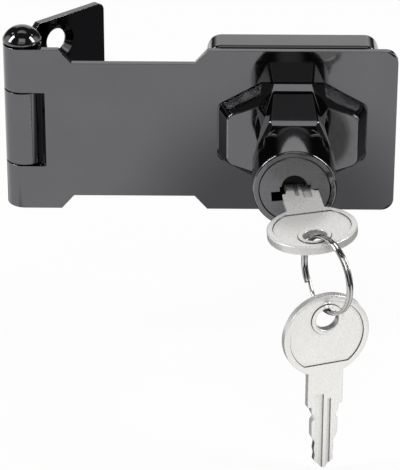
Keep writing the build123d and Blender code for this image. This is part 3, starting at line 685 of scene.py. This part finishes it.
class HASP_OT_leaf(bpy.types.Operator):
    """Stamp the mounting leaf, roll its knuckle, sink its screw holes and swing it open"""

    bl_idname = "hasp_lock.leaf"
    bl_label = "Leaf"

    def execute(self, context):
        s = context.scene.hasp_sheet
        top = s.leaf_height / 2
        free_edge = HINGE.x + s.leaf_length
        plate_start = HINGE.x + 5.7 * MM
        corner_cut = 1.0 * MM
        corner_radius = 1.6 * MM
        knuckle_half = 7.9 * MM
        upper = [
            (free_edge, top),
            (plate_start + corner_cut, top),
            (plate_start, top - corner_cut),
            (plate_start, knuckle_half),
            (HINGE.x, knuckle_half),
        ]
        bm = bmesh.new()
        blank = corner_face(bm, upper + [(x, -z) for x, z in reversed(upper)], -s.thickness)
        free_corners = [vert for vert in blank.verts if vert.co.x > free_edge - MM]
        round_corners(bm, free_corners, corner_radius)
        hole_x = HINGE.x + 11.9 * MM
        hole_rise = 13.8 * MM
        hole_radius = 2.5 * MM
        countersink = 1.2 * MM
        holes = [Vector((hole_x, -s.thickness, z)) for z in (-hole_rise, hole_rise)]
        for hole in holes:
            bmesh.ops.create_circle(
                bm, segments=48, radius=hole_radius, matrix=Matrix.Translation(hole) @ UPRIGHT
            )
        fill_round_holes(bm)
        thicken(bm, s.thickness)
        roll_knuckles(bm, KNUCKLE_ROLL)
        rims = [
            edge for edge in bm.edges
            if any(
                all(abs((vert.co - hole).length - hole_radius) < 0.01 * MM for vert in edge.verts)
                for hole in holes
            )
        ]
        bevelled(bm, rims, countersink, segments=1)
        soften_edges(bm, s.edge * 0.8)
        swing = Matrix.Rotation(s.leaf_open, 3, "Z")
        bmesh.ops.rotate(bm, verts=bm.verts, cent=HINGE, matrix=swing)
        finish_piece(bm, "leaf", "hinge_leaf", METALS["black_nickel_steel"], smooth_below=30.0)
        return {"FINISHED"}


class HASP_OT_pin(bpy.types.Operator):
    """Turn the hinge pin with its domed head and riveted foot"""

    bl_idname = "hasp_lock.pin"
    bl_label = "Hinge pin"

    def execute(self, context):
        s = context.scene.hasp_sheet
        half = s.strap_height / 2
        seat = half + 0.45 * MM
        foot = half + 0.6 * MM
        rim = 0.6 * MM
        shank = 2.35 * MM
        dome_rise = s.head_rise - rim
        dome = (s.head_radius**2 + dome_rise**2) / (2 * dome_rise)
        dome_sweep = math.asin(s.head_radius / dome)
        dome_centre = (0, 0, seat + s.head_rise - dome)
        profile = [
            (0, -foot),
            (shank, -foot),
            (shank, seat),
            (s.head_radius, seat),
            (s.head_radius, seat + rim),
        ]
        bm = bmesh.new()
        verts = [bm.verts.new((r, 0, z)) for r, z in profile]
        for first, second in zip(verts, verts[1:]):
            bm.edges.new((first, second))
        swept(bm, [verts[-1]], dome_centre, (0, -1, 0), dome_sweep, 16)
        swept(bm, bm.verts[:] + bm.edges[:], (0, 0, 0), UP, math.radians(360), 72)
        bmesh.ops.remove_doubles(bm, verts=bm.verts, dist=0.01 * MM)
        bmesh.ops.recalc_face_normals(bm, faces=bm.faces)
        bmesh.ops.translate(bm, verts=bm.verts, vec=HINGE)
        soften_edges(bm, 0.2 * MM, sharper_than=30.0)
        finish_piece(bm, "hinge_pin_turned", "hinge_pin", METALS["black_nickel_steel"])
        return {"FINISHED"}


def cast_neck(k):
    """The knob's tapered eight-sided neck, with a chamfer round its front."""
    neck = lofted(
        (both_sides([(6.0, 3.4), (4.1, 9.6)]), -8.4),
        (both_sides([(7.4, 3.4), (4.87, 9.1)]), -22.44),
        (both_sides([(6.56, 3.22), (4.32, 8.3)]), -23.1),
    )
    round_edges(neck, edges_to_front(neck), k.neck_edge, 4)
    soften_edges(neck, 0.1 * MM, segments=5, sharper_than=30.0)
    return neck


def cast_wings(k):
    """The knob's wing plate: level ledges by the neck, and sides that slope to its face."""
    rear, face = -8.2, -12.2
    ledge_end = (3.8, 10.7)
    valley = (7.0, 7.45)
    wings = lofted(
        (both_sides([(15.0, 5.784), (6.347, 10.7), ledge_end]), rear),
        (both_sides([(13.3, 5.3), valley, (5.6, 5.4)]), face),
    )
    # Each valley beside the neck folds along a line from the ledge's end to the wing's face.
    for across, upward in ((1, 1), (1, -1), (-1, 1), (-1, -1)):
        fold = []
        for (x, z), y in ((ledge_end, rear), (valley, face)):
            place = Vector((x * across, y, z * upward)) * MM
            fold.append(min(wings.verts, key=lambda vert: (vert.co - place).length))
        bmesh.ops.connect_vert_pair(wings, verts=fold)
    # The outer corners run back from the face's ends, which are 13.3 mm from the axis.
    corners = [
        edge for edge in edges_to_front(wings)
        if max(abs(vert.co.x) for vert in edge.verts) > 13 * MM
    ]
    round_edges(wings, corners, k.wing_corner, 6)
    front = [
        edge for edge in wings.edges
        if edge.calc_face_angle(0) > math.radians(22)
        and edge.is_convex
        and max(vert.co.y for vert in edge.verts) < -11 * MM
    ]
    round_edges(wings, front, k.wing_edge, 6)
    # The wings' sides are twisted, so they need steps from back to front.
    slopes = [
        edge for edge in edges_to_front(wings)
        if min(abs(vert.co.x) for vert in edge.verts) > 6.2 * MM
    ]
    bmesh.ops.subdivide_edges(wings, edges=slopes, cuts=11, use_grid_fill=True)
    return wings


class HASP_OT_knob(bpy.types.Operator):
    """Cast the knob: wings, neck, barrel and stem, with the bores and pockets inside"""

    bl_idname = "hasp_lock.knob"
    bl_label = "Knob"

    def execute(self, context):
        k = context.scene.hasp_knob
        barrel = rod(8.25, -23.05, BARREL_FRONT, segments=128)
        rims = [edge for edge in barrel.edges if edge.calc_face_angle(0) > math.radians(60)]
        round_edges(barrel, rims, k.rim_edge, 8)
        core = rod(7.55, -17.42, -23.5)
        stem = rod(5.2, -2.65, -9.0)
        tang = block((-2.2, -3.0, -2.2), (2.2, -1.95, 2.2))
        whole = combined(cast_wings(k), [cast_neck(k), core, barrel, stem, tang], "UNION")
        plug_bore = rod(7.08, -18.42, BARREL_FRONT - 1, segments=128)
        retainer_groove = rod(7.58, -19.22, -20.18)
        crank_bore = rod(3.35, -6.75, -19.0)
        dog_pocket = block((-3.3, -6.85, -3.0), (3.3, -4.65, 5.3))
        screw_hole = rod(1.0, -1.0, -3.75, segments=32)
        hollow = [plug_bore, crank_bore, retainer_groove, dog_pocket, screw_hole]
        whole = combined(whole, hollow, "DIFFERENCE")
        casting = METALS["black_nickel_casting"]
        finish_piece(whole, "knob_casting", "twist_knob", casting, smooth_below=13.0)
        return {"FINISHED"}


class HASP_OT_castings(bpy.types.Operator):
    """Round the edges of the base, the plug and the parts behind the base"""

    bl_idname = "hasp_lock.castings"
    bl_label = "Castings and fittings"

    def execute(self, context):
        # Each node's edge rounding, and how far from the knob's axis it starts, in millimetres.
        fittings = {
            "lock_base": (0.15, 0.0),
            "cylinder_plug": (0.06, 6.5),
            "spring_washer": (0.06, 0.0),
            "stop_plate": (0.1, 0.0),
            "knob_screw": (0.1, 0.0),
        }
        # The keyway and the thumb recess lie within this radius, between face and rear end.
        recess_radius = 5.6 * MM
        recess_front = (BARREL_FRONT + 0.1) * MM
        recess_rear = -18.5 * MM
        for node, (width, beyond) in fittings.items():
            bm = merged_copy(node)
            soften_edges(bm, width * MM, segments=2, beyond=beyond * MM)
            is_plug = node == "cylinder_plug"
            metal = METALS["plug_satin" if is_plug else RECORD_SLOT[node]]
            if is_plug:
                # Faces of the keyway and the thumb recess take the painted shade, the plug's second
                # material.
                for face in bm.faces:
                    place = face.calc_center_median()
                    inner = math.hypot(place.x, place.z) < recess_radius
                    face.material_index = int(inner and recess_front < place.y < recess_rear)
            piece = finish_piece(bm, node + "_rounded", node, metal, smooth_below=35.0)
            if is_plug:
                piece.data.materials.append(METALS["keyway_painted_shade"])
        return {"FINISHED"}


def stamped_key(k):
    """One key, upright: its shoulders are at the origin, its bow above, and its front faces -Y."""
    bow_radius = k.bow_radius / MM
    bow = BOW_RISE + bow_radius
    eyelet = bow + EYELET_RISE
    joint = bow - math.sqrt(bow_radius**2 - SHANK_HALF**2)
    # Distance below the shoulders and half-width of the blade, down to its tip.
    cuts = [
        (0.0, 2.85), (1.3, 2.75), (2.4, 2.15), (3.3, 2.7), (6.6, 2.65), (8.1, 1.85),
        (9.7, 2.05), (10.9, 1.8), (12.2, 2.0), (13.4, 0.9), (14.0, 0.5),
    ]
    right = [(half, -down) for down, half in reversed(cuts)]
    right += [(SHANK_HALF, 0.0), (SHANK_HALF, joint)]
    left = [(-x, z) for x, z in reversed(right)]
    panel_radius = bow_radius - k.rim / MM
    chord = 6.1
    chord_half = math.sqrt(panel_radius**2 - chord**2)
    bm = bmesh.new()
    loops = []
    # The outline and the panel each have straight runs, and an arc round the bow's centre.
    for corners, radius in (
        (left + right, k.bow_radius),
        ([(-chord_half, bow - chord), (chord_half, bow - chord)], panel_radius * MM),
    ):
        before = set(bm.verts)
        verts = [bm.verts.new((x * MM, 0, z * MM)) for x, z in corners]
        for first, second in zip(verts, verts[1:]):
            bm.edges.new((first, second))
        end = math.asin(corners[-1][0] * MM / radius)
        swept(bm, [verts[-1]], (0, 0, bow * MM), (0, -1, 0), 2 * math.pi - 2 * end, 96)
        loops.append([vert for vert in bm.verts if vert not in before])
    bmesh.ops.remove_doubles(bm, verts=bm.verts, dist=0.005 * MM)
    loops = [[vert for vert in loop if vert.is_valid] for loop in loops]
    collar_radius = 3.15
    at_eyelet = Matrix.Translation((0, 0, eyelet * MM)) @ UPRIGHT
    for radius in (collar_radius, EYELET_RADIUS):
        ring = bmesh.ops.create_circle(bm, segments=56, radius=radius * MM, matrix=at_eyelet)
        loops.append(ring["verts"])
    # Rim, panel and collar are filled from the outside inwards, and only the panel is coined.
    sides = [dict.fromkeys(edge for vert in loop for edge in vert.link_edges) for loop in loops]
    coined = bm.faces.layers.int.new("coined")
    for number, (outer, inner) in enumerate(zip(sides, sides[1:])):
        filled = bmesh.ops.triangle_fill(bm, edges=list(outer | inner), use_beauty=True)["geom"]
        for face in filled:
            if isinstance(face, bmesh.types.BMFace):
                face[coined] = int(number == 1)
    bmesh.ops.translate(bm, verts=bm.verts, vec=(0, -k.thickness / 2, 0))
    thicken(bm, k.thickness)
    soften_edges(bm, k.edge, sharper_than=50.0)
    panels = [face for face in bm.faces if face[coined] and abs(face.normal.y) > 0.99]
    coining_width = 0.14 * MM
    coining_depth = 0.22 * MM
    bmesh.ops.inset_region(
        bm,
        faces=panels,
        thickness=coining_width,
        depth=-coining_depth,
        use_even_offset=True,
        use_boundary=True,
    )
    # The walls of the coined panel take a painted shade.
    painted_shade = bm.faces.layers.float.new("painted_shade")
    for face in bm.faces:
        face[painted_shade] = float(face[coined] and abs(face.normal.y) < 0.95)
    # Two grooves run up the blade's front from its tip, and end above its shoulders.
    front = -k.thickness / MM / 2
    groove_floor = front + 0.4
    past_tip = -15.0
    grooves = [
        block((start, front - 1, past_tip), (end, groove_floor, top))
        for start, end, top in ((-2.05, -0.35, 2.7), (0.35, 1.15, 1.5))
    ]
    bm = combined(bm, grooves, "DIFFERENCE")
    painted_shade = bm.faces.layers.float.get("painted_shade")
    for face in bm.faces:
        place = face.calc_center_median()
        if abs(place.x) < 2.1 * MM and place.z < 2.8 * MM and abs(face.normal.x) > 0.9:
            # The grooves' walls take a full painted shade.
            face[painted_shade] = 1.0
        elif math.hypot(place.x, place.z - eyelet * MM) < (EYELET_RADIUS + 0.05) * MM:
            # The eyelet's wall takes a lighter painted shade.
            face[painted_shade] = 0.6
        elif abs(face.normal.y) < 0.2 and not face[painted_shade]:
            # The sheared outline takes a faint painted shade.
            face[painted_shade] = 0.3
    return bm


class HASP_OT_keys(bpy.types.Operator):
    """Stamp and cut the two keys"""

    bl_idname = "hasp_lock.keys"
    bl_label = "Keys"

    def execute(self, context):
        k = context.scene.hasp_key
        ring = context.scene.hasp_ring
        # The key in the lock leans with its plug, and points a little aside within its play.
        tilt = math.radians(5.0)
        yaw = math.radians(7.0)
        up = Vector((-math.sin(tilt), 0, math.cos(tilt)))
        level = Vector((math.cos(tilt), 0, math.sin(tilt)))
        out = Vector((0, -math.cos(yaw), 0)) + level * math.sin(yaw)
        aside = 1.0 * MM
        below_axis = 0.25 * MM
        clear_of_plug = 0.1 * MM
        inserted = Vector((0, BARREL_FRONT * MM, 0)) + level * aside
        inserted -= up * (below_axis + k.thickness / 2)
        inserted += out * (clear_of_plug + SHANK_HALF * MM * math.sin(yaw))
        # The spare hangs with its eyelet's upper edge just over the ring's wire.
        facing = math.radians(20)
        across = Vector((math.cos(facing), math.sin(facing), 0))
        over_wire = 0.3 * MM
        eyelet = (BOW_RISE + EYELET_RISE) * MM + k.bow_radius
        drop = ring.radius - ring.wire + EYELET_RADIUS * MM - over_wire + eyelet
        hanging = RING_CENTRE - UP * drop
        for node, right, head, face, shoulders in (
            ("key_in_lock", out.cross(up), out, up, inserted),
            ("spare_key", across, UP, across.cross(UP), hanging),
        ):
            bm = stamped_key(k)
            turn = Matrix((right, -face, head)).transposed().to_4x4()
            bmesh.ops.transform(bm, verts=bm.verts, matrix=Matrix.Translation(shoulders) @ turn)
            finish_piece(bm, node + "_stamped", node, METALS["bright_nickel"], smooth_below=35.0)
        return {"FINISHED"}


class HASP_OT_ring(bpy.types.Operator):
    """Coil the split ring from one wire"""

    bl_idname = "hasp_lock.ring"
    bl_label = "Split ring"

    def execute(self, context):
        s = context.scene.hasp_ring
        # Two level turns, joined by a short crossing in which the wire climbs to the other.
        crossing = math.radians(34)
        crossing_steps = 12
        level_turn = 2 * math.pi - crossing
        start = Matrix.Rotation(crossing, 4, "Z")
        start @= Matrix.Translation((s.radius, 0, -s.pitch / 2)) @ UPRIGHT
        bm = bmesh.new()
        bmesh.ops.create_circle(bm, cap_ends=True, segments=20, radius=s.wire, matrix=start)
        end = bm.faces[:] + bm.edges[:] + bm.verts[:]
        for angle, steps, rise in (
            (level_turn, 120, 0.0),
            (crossing, crossing_steps, s.pitch / crossing_steps),
            (level_turn, 120, 0.0),
        ):
            end = swept(bm, end, (0, 0, 0), UP, angle, steps, rise)
        bmesh.ops.recalc_face_normals(bm, faces=bm.faces)
        soften_edges(bm, 0.1 * MM, segments=2, sharper_than=60.0)
        facing = math.radians(57)
        crossing_place = math.radians(215)
        along = Vector((math.cos(facing), -math.sin(facing), 0))
        turn = Matrix((along, UP, along.cross(UP))).transposed().to_4x4()
        turn = turn @ Matrix.Rotation(crossing_place, 4, "Z")
        bmesh.ops.transform(bm, verts=bm.verts, matrix=Matrix.Translation(RING_CENTRE) @ turn)
        finish_piece(bm, "split_ring", "key_ring", METALS["ring_wire"], smooth_below=50.0)
        return {"FINISHED"}


def floor_paint():
    """Plain pale paint, evenly bright to the eye, with areas in shade where metal mirrors it."""
    paint = bpy.data.materials.new("floor_paint")
    tree = empty_tree(paint)
    path = add_node(tree, "ShaderNodeLightPath")
    place = add_node(tree, "ShaderNodeTexCoord").outputs["Object"]
    split = add_node(tree, "ShaderNodeSeparateXYZ", {"Vector": place})
    sources = {
        "x": split.outputs["X"],
        "y": split.outputs["Y"],
        "to_eye": path.outputs["Is Camera Ray"],
        "mirrored": path.outputs["Is Glossy Ray"],
        "through": path.outputs["Is Transmission Ray"],
    }
    # In the metal the floor is bright for some way in front of the lock, at its left, and far off
    # behind it and to the right. Places are in metres.
    ramps = {
        "not_right": ("x", 0.055, 0.12, 1.0, 0.0),
        "front": ("y", -0.075, -0.04, 1.0, 0.0),
        "left": ("x", -0.11, -0.085, 1.0, 0.0),
        "far_right": ("x", 0.24, 0.3, 0.0, 1.0),
        "far_back": ("y", 0.16, 0.22, 0.0, 1.0),
        "not_far_front": ("y", -0.25, -0.22, 0.0, 1.0),
        "direct": ("mirrored", 0.0, 1.0, 1.0, 0.0),
        "strength": ("mirrored", 0.0, 1.0, 0.9, 1.0),
    }
    steps = (
        ("lit", "not_right", "MULTIPLY", "front"),
        ("lit", "lit", "MAXIMUM", "left"),
        ("far", "far_right", "MAXIMUM", "far_back"),
        ("lit", "lit", "MAXIMUM", "far"),
        ("lit", "lit", "MULTIPLY", "not_far_front"),
        ("lit", "lit", "MAXIMUM", "direct"),
        ("seen", "to_eye", "MAXIMUM", "mirrored"),
        ("seen", "seen", "MAXIMUM", "through"),
        ("shown", "seen", "MULTIPLY", "strength"),
    )
    levels = combined_levels(tree, sources, ramps, steps)
    sheet = layered_tone(tree, "#404042", [(levels["lit"], "#FFFFFF")])
    matt = add_node(tree, "ShaderNodeBsdfDiffuse", {"Color": linear("#F2F2F0")})
    glow = add_node(tree, "ShaderNodeEmission", {"Color": sheet, "Strength": 1.0})
    both = add_node(
        tree,
        "ShaderNodeMixShader",
        {0: levels["shown"], 1: matt.outputs["BSDF"], 2: glow.outputs["Emission"]},
    )
    add_node(tree, "ShaderNodeOutputMaterial", {"Surface": both.outputs["Shader"]})
    return paint


def studio_world():
    """A white room with a dark ceiling, front wall and screens, which show in the metal."""
    world = bpy.data.worlds.new("studio")
    tree = empty_tree(world)
    path = add_node(tree, "ShaderNodeLightPath")
    direction = add_node(tree, "ShaderNodeTexCoord").outputs["Generated"]
    split = add_node(tree, "ShaderNodeSeparateXYZ", {"Vector": direction})
    sideways = add_node(tree, "ShaderNodeMath", {0: split.outputs["X"]}, operation="ABSOLUTE")
    sources = {
        "y": split.outputs["Y"],
        "z": split.outputs["Z"],
        "sideways": sideways.outputs[0],
        "mirrored": path.outputs["Is Glossy Ray"],
        "scattered": path.outputs["Is Diffuse Ray"],
    }
    # The ceiling has a window right overhead, towards the rear. Dark screens stand at both rear
    # corners, between the rear wall and the side walls.
    ramps = {
        "ceiling": ("z", 0.50, 0.66, 0.0, 1.0),
        "not_overhead": ("z", 0.90, 0.96, 1.0, 0.0),
        "not_rear": ("y", 0.02, 0.12, 1.0, 0.0),
        "front": ("y", -0.35, -0.1, 1.0, 0.0),
        "low": ("z", 0.25, 0.40, 1.0, 0.35),
        "inner": ("sideways", 0.22, 0.38, 0.0, 1.0),
        "outer": ("sideways", 0.75, 0.88, 1.0, 0.0),
        "in_metal": ("mirrored", 0.0, 1.0, 0.5, 1.0),
        "strength": ("scattered", 0.0, 1.0, 1.0, 0.85),
    }
    steps = (
        ("beside_window", "not_overhead", "MAXIMUM", "not_rear"),
        ("ceiling", "ceiling", "MULTIPLY", "beside_window"),
        ("front", "front", "MULTIPLY", "low"),
        ("screens", "inner", "MULTIPLY", "outer"),
        ("dark", "ceiling", "MAXIMUM", "front"),
        ("dark", "dark", "MAXIMUM", "screens"),
        ("dark", "dark", "MULTIPLY", "in_metal"),
    )
    levels = combined_levels(tree, sources, ramps, steps)
    walls = layered_tone(tree, "#F8F8F8", [(levels["dark"], "#404041")])
    sky = add_node(tree, "ShaderNodeBackground", {"Color": walls, "Strength": levels["strength"]})
    add_node(tree, "ShaderNodeOutputWorld", {"Surface": sky.outputs["Background"]})
    return world


def hang_lamps(collection, s):
    """Rectangular lamps that face the knob's axis, with sizes and places in metres."""
    for name, place, width, length, power in (
        ("left_strip", (-0.75, -0.15, 0.55), 0.22, 0.55, s.strip_power),
        ("right_strip", (0.75, -0.15, 0.55), 0.22, 0.55, s.strip_power),
        ("front_box", (0.0, -0.65, 0.76), 0.6, 0.35, s.front_power),
        ("left_spot", (-0.58, 0.22, 0.65), 0.1, 0.1, s.spot_power),
        ("right_spot", (0.58, 0.22, 0.65), 0.1, 0.1, s.spot_power),
    ):
        lamp = bpy.data.lights.new(name, "AREA")
        lamp.shape = "RECTANGLE"
        lamp.size = width
        lamp.size_y = length
        lamp.energy = power
        held = bpy.data.objects.new(name, lamp)
        held.location = place
        held.rotation_euler = (-Vector(place)).to_track_quat("-Z", "Y").to_euler()
        collection.objects.link(held)


def photograph_camera():
    """The camera at the photograph's viewing angle."""
    ahead = math.cos(CAMERA_ELEVATION)
    forward = Vector(
        (
            -math.sin(CAMERA_AZIMUTH) * ahead,
            math.cos(CAMERA_AZIMUTH) * ahead,
            -math.sin(CAMERA_ELEVATION),
        )
    )
    right = forward.cross(UP).normalized()
    up = right.cross(forward).normalized()
    right, up = (
        right * math.cos(CAMERA_ROLL) + up * math.sin(CAMERA_ROLL),
        up * math.cos(CAMERA_ROLL) - right * math.sin(CAMERA_ROLL),
    )
    pixels_right, pixels_up = AIM_PIXELS
    ray = forward + right * (pixels_right / FOCAL_PIXELS) + up * (pixels_up / FOCAL_PIXELS)
    camera = bpy.data.objects.new("camera", bpy.data.cameras.new("camera"))
    camera.data.sensor_width = SENSOR_MM
    camera.data.lens = FOCAL_PIXELS / FRAME_PIXELS * SENSOR_MM
    camera.data.clip_start = 0.01
    turn = Matrix((right, up, -forward)).transposed().to_4x4()
    camera.matrix_world = Matrix.Translation(AIM - ray * CAMERA_DISTANCE) @ turn
    return camera


class HASP_OT_stage(bpy.types.Operator):
    """Floor, lights, world and camera"""

    bl_idname = "hasp_lock.stage"
    bl_label = "Stage"

    def execute(self, context):
        s = context.scene.hasp_stage
        scene = context.scene
        bm = bmesh.new()
        bmesh.ops.create_grid(bm, x_segments=1, y_segments=1, size=3.0)
        bmesh.ops.translate(bm, verts=bm.verts, vec=(0, 0, CAD_BOX[0][2] - s.floor_gap))
        mesh = bpy.data.meshes.new("floor")
        bm.to_mesh(mesh)
        bm.free()
        mesh.materials.append(floor_paint())
        floor = bpy.data.objects.new("floor", mesh)
        scene.collection.objects.link(floor)
        scene.world = studio_world()
        hang_lamps(scene.collection, s)
        camera = photograph_camera()
        scene.collection.objects.link(camera)
        scene.camera = camera
        scene.view_settings.view_transform = "Standard"
        return {"FINISHED"}


class HASP_PT_panel(bpy.types.Panel):
    """Lists the lock's pieces and settings"""

    bl_label = "Hasp Lock"
    bl_idname = "HASP_PT_panel"
    bl_space_type = "VIEW_3D"
    bl_region_type = "UI"
    bl_category = "Hasp Lock"

    def draw(self, context):
        column = self.layout.column()
        for operator in OPERATORS:
            column.operator(operator.bl_idname)
        for name, group in SETTINGS.items():
            for setting in group.__annotations__:
                column.prop(getattr(context.scene, name), setting)


OPERATORS = (
    HASP_OT_metals,
    HASP_OT_strap,
    HASP_OT_leaf,
    HASP_OT_pin,
    HASP_OT_knob,
    HASP_OT_castings,
    HASP_OT_keys,
    HASP_OT_ring,
    HASP_OT_stage,
)
SETTINGS = {
    "hasp_plating": PlatingSettings,
    "hasp_sheet": SheetSettings,
    "hasp_knob": KnobSettings,
    "hasp_key": KeySettings,
    "hasp_ring": RingSettings,
    "hasp_stage": StageSettings,
}
CLASSES = tuple(SETTINGS.values()) + OPERATORS + (HASP_PT_panel,)


def register():
    for item in CLASSES:
        bpy.utils.register_class(item)
    for name, group in SETTINGS.items():
        setattr(bpy.types.Scene, name, PointerProperty(type=group))


def unregister():
    for name in SETTINGS:
        delattr(bpy.types.Scene, name)
    for item in reversed(CLASSES):
        bpy.utils.unregister_class(item)


def main():
    register()
    bpy.ops.hasp_lock.metals()
    bpy.ops.hasp_lock.strap()
    bpy.ops.hasp_lock.leaf()
    bpy.ops.hasp_lock.pin()
    bpy.ops.hasp_lock.knob()
    bpy.ops.hasp_lock.castings()
    bpy.ops.hasp_lock.keys()
    bpy.ops.hasp_lock.ring()
    bpy.ops.hasp_lock.stage()


if __name__ == "__main__":
    main()
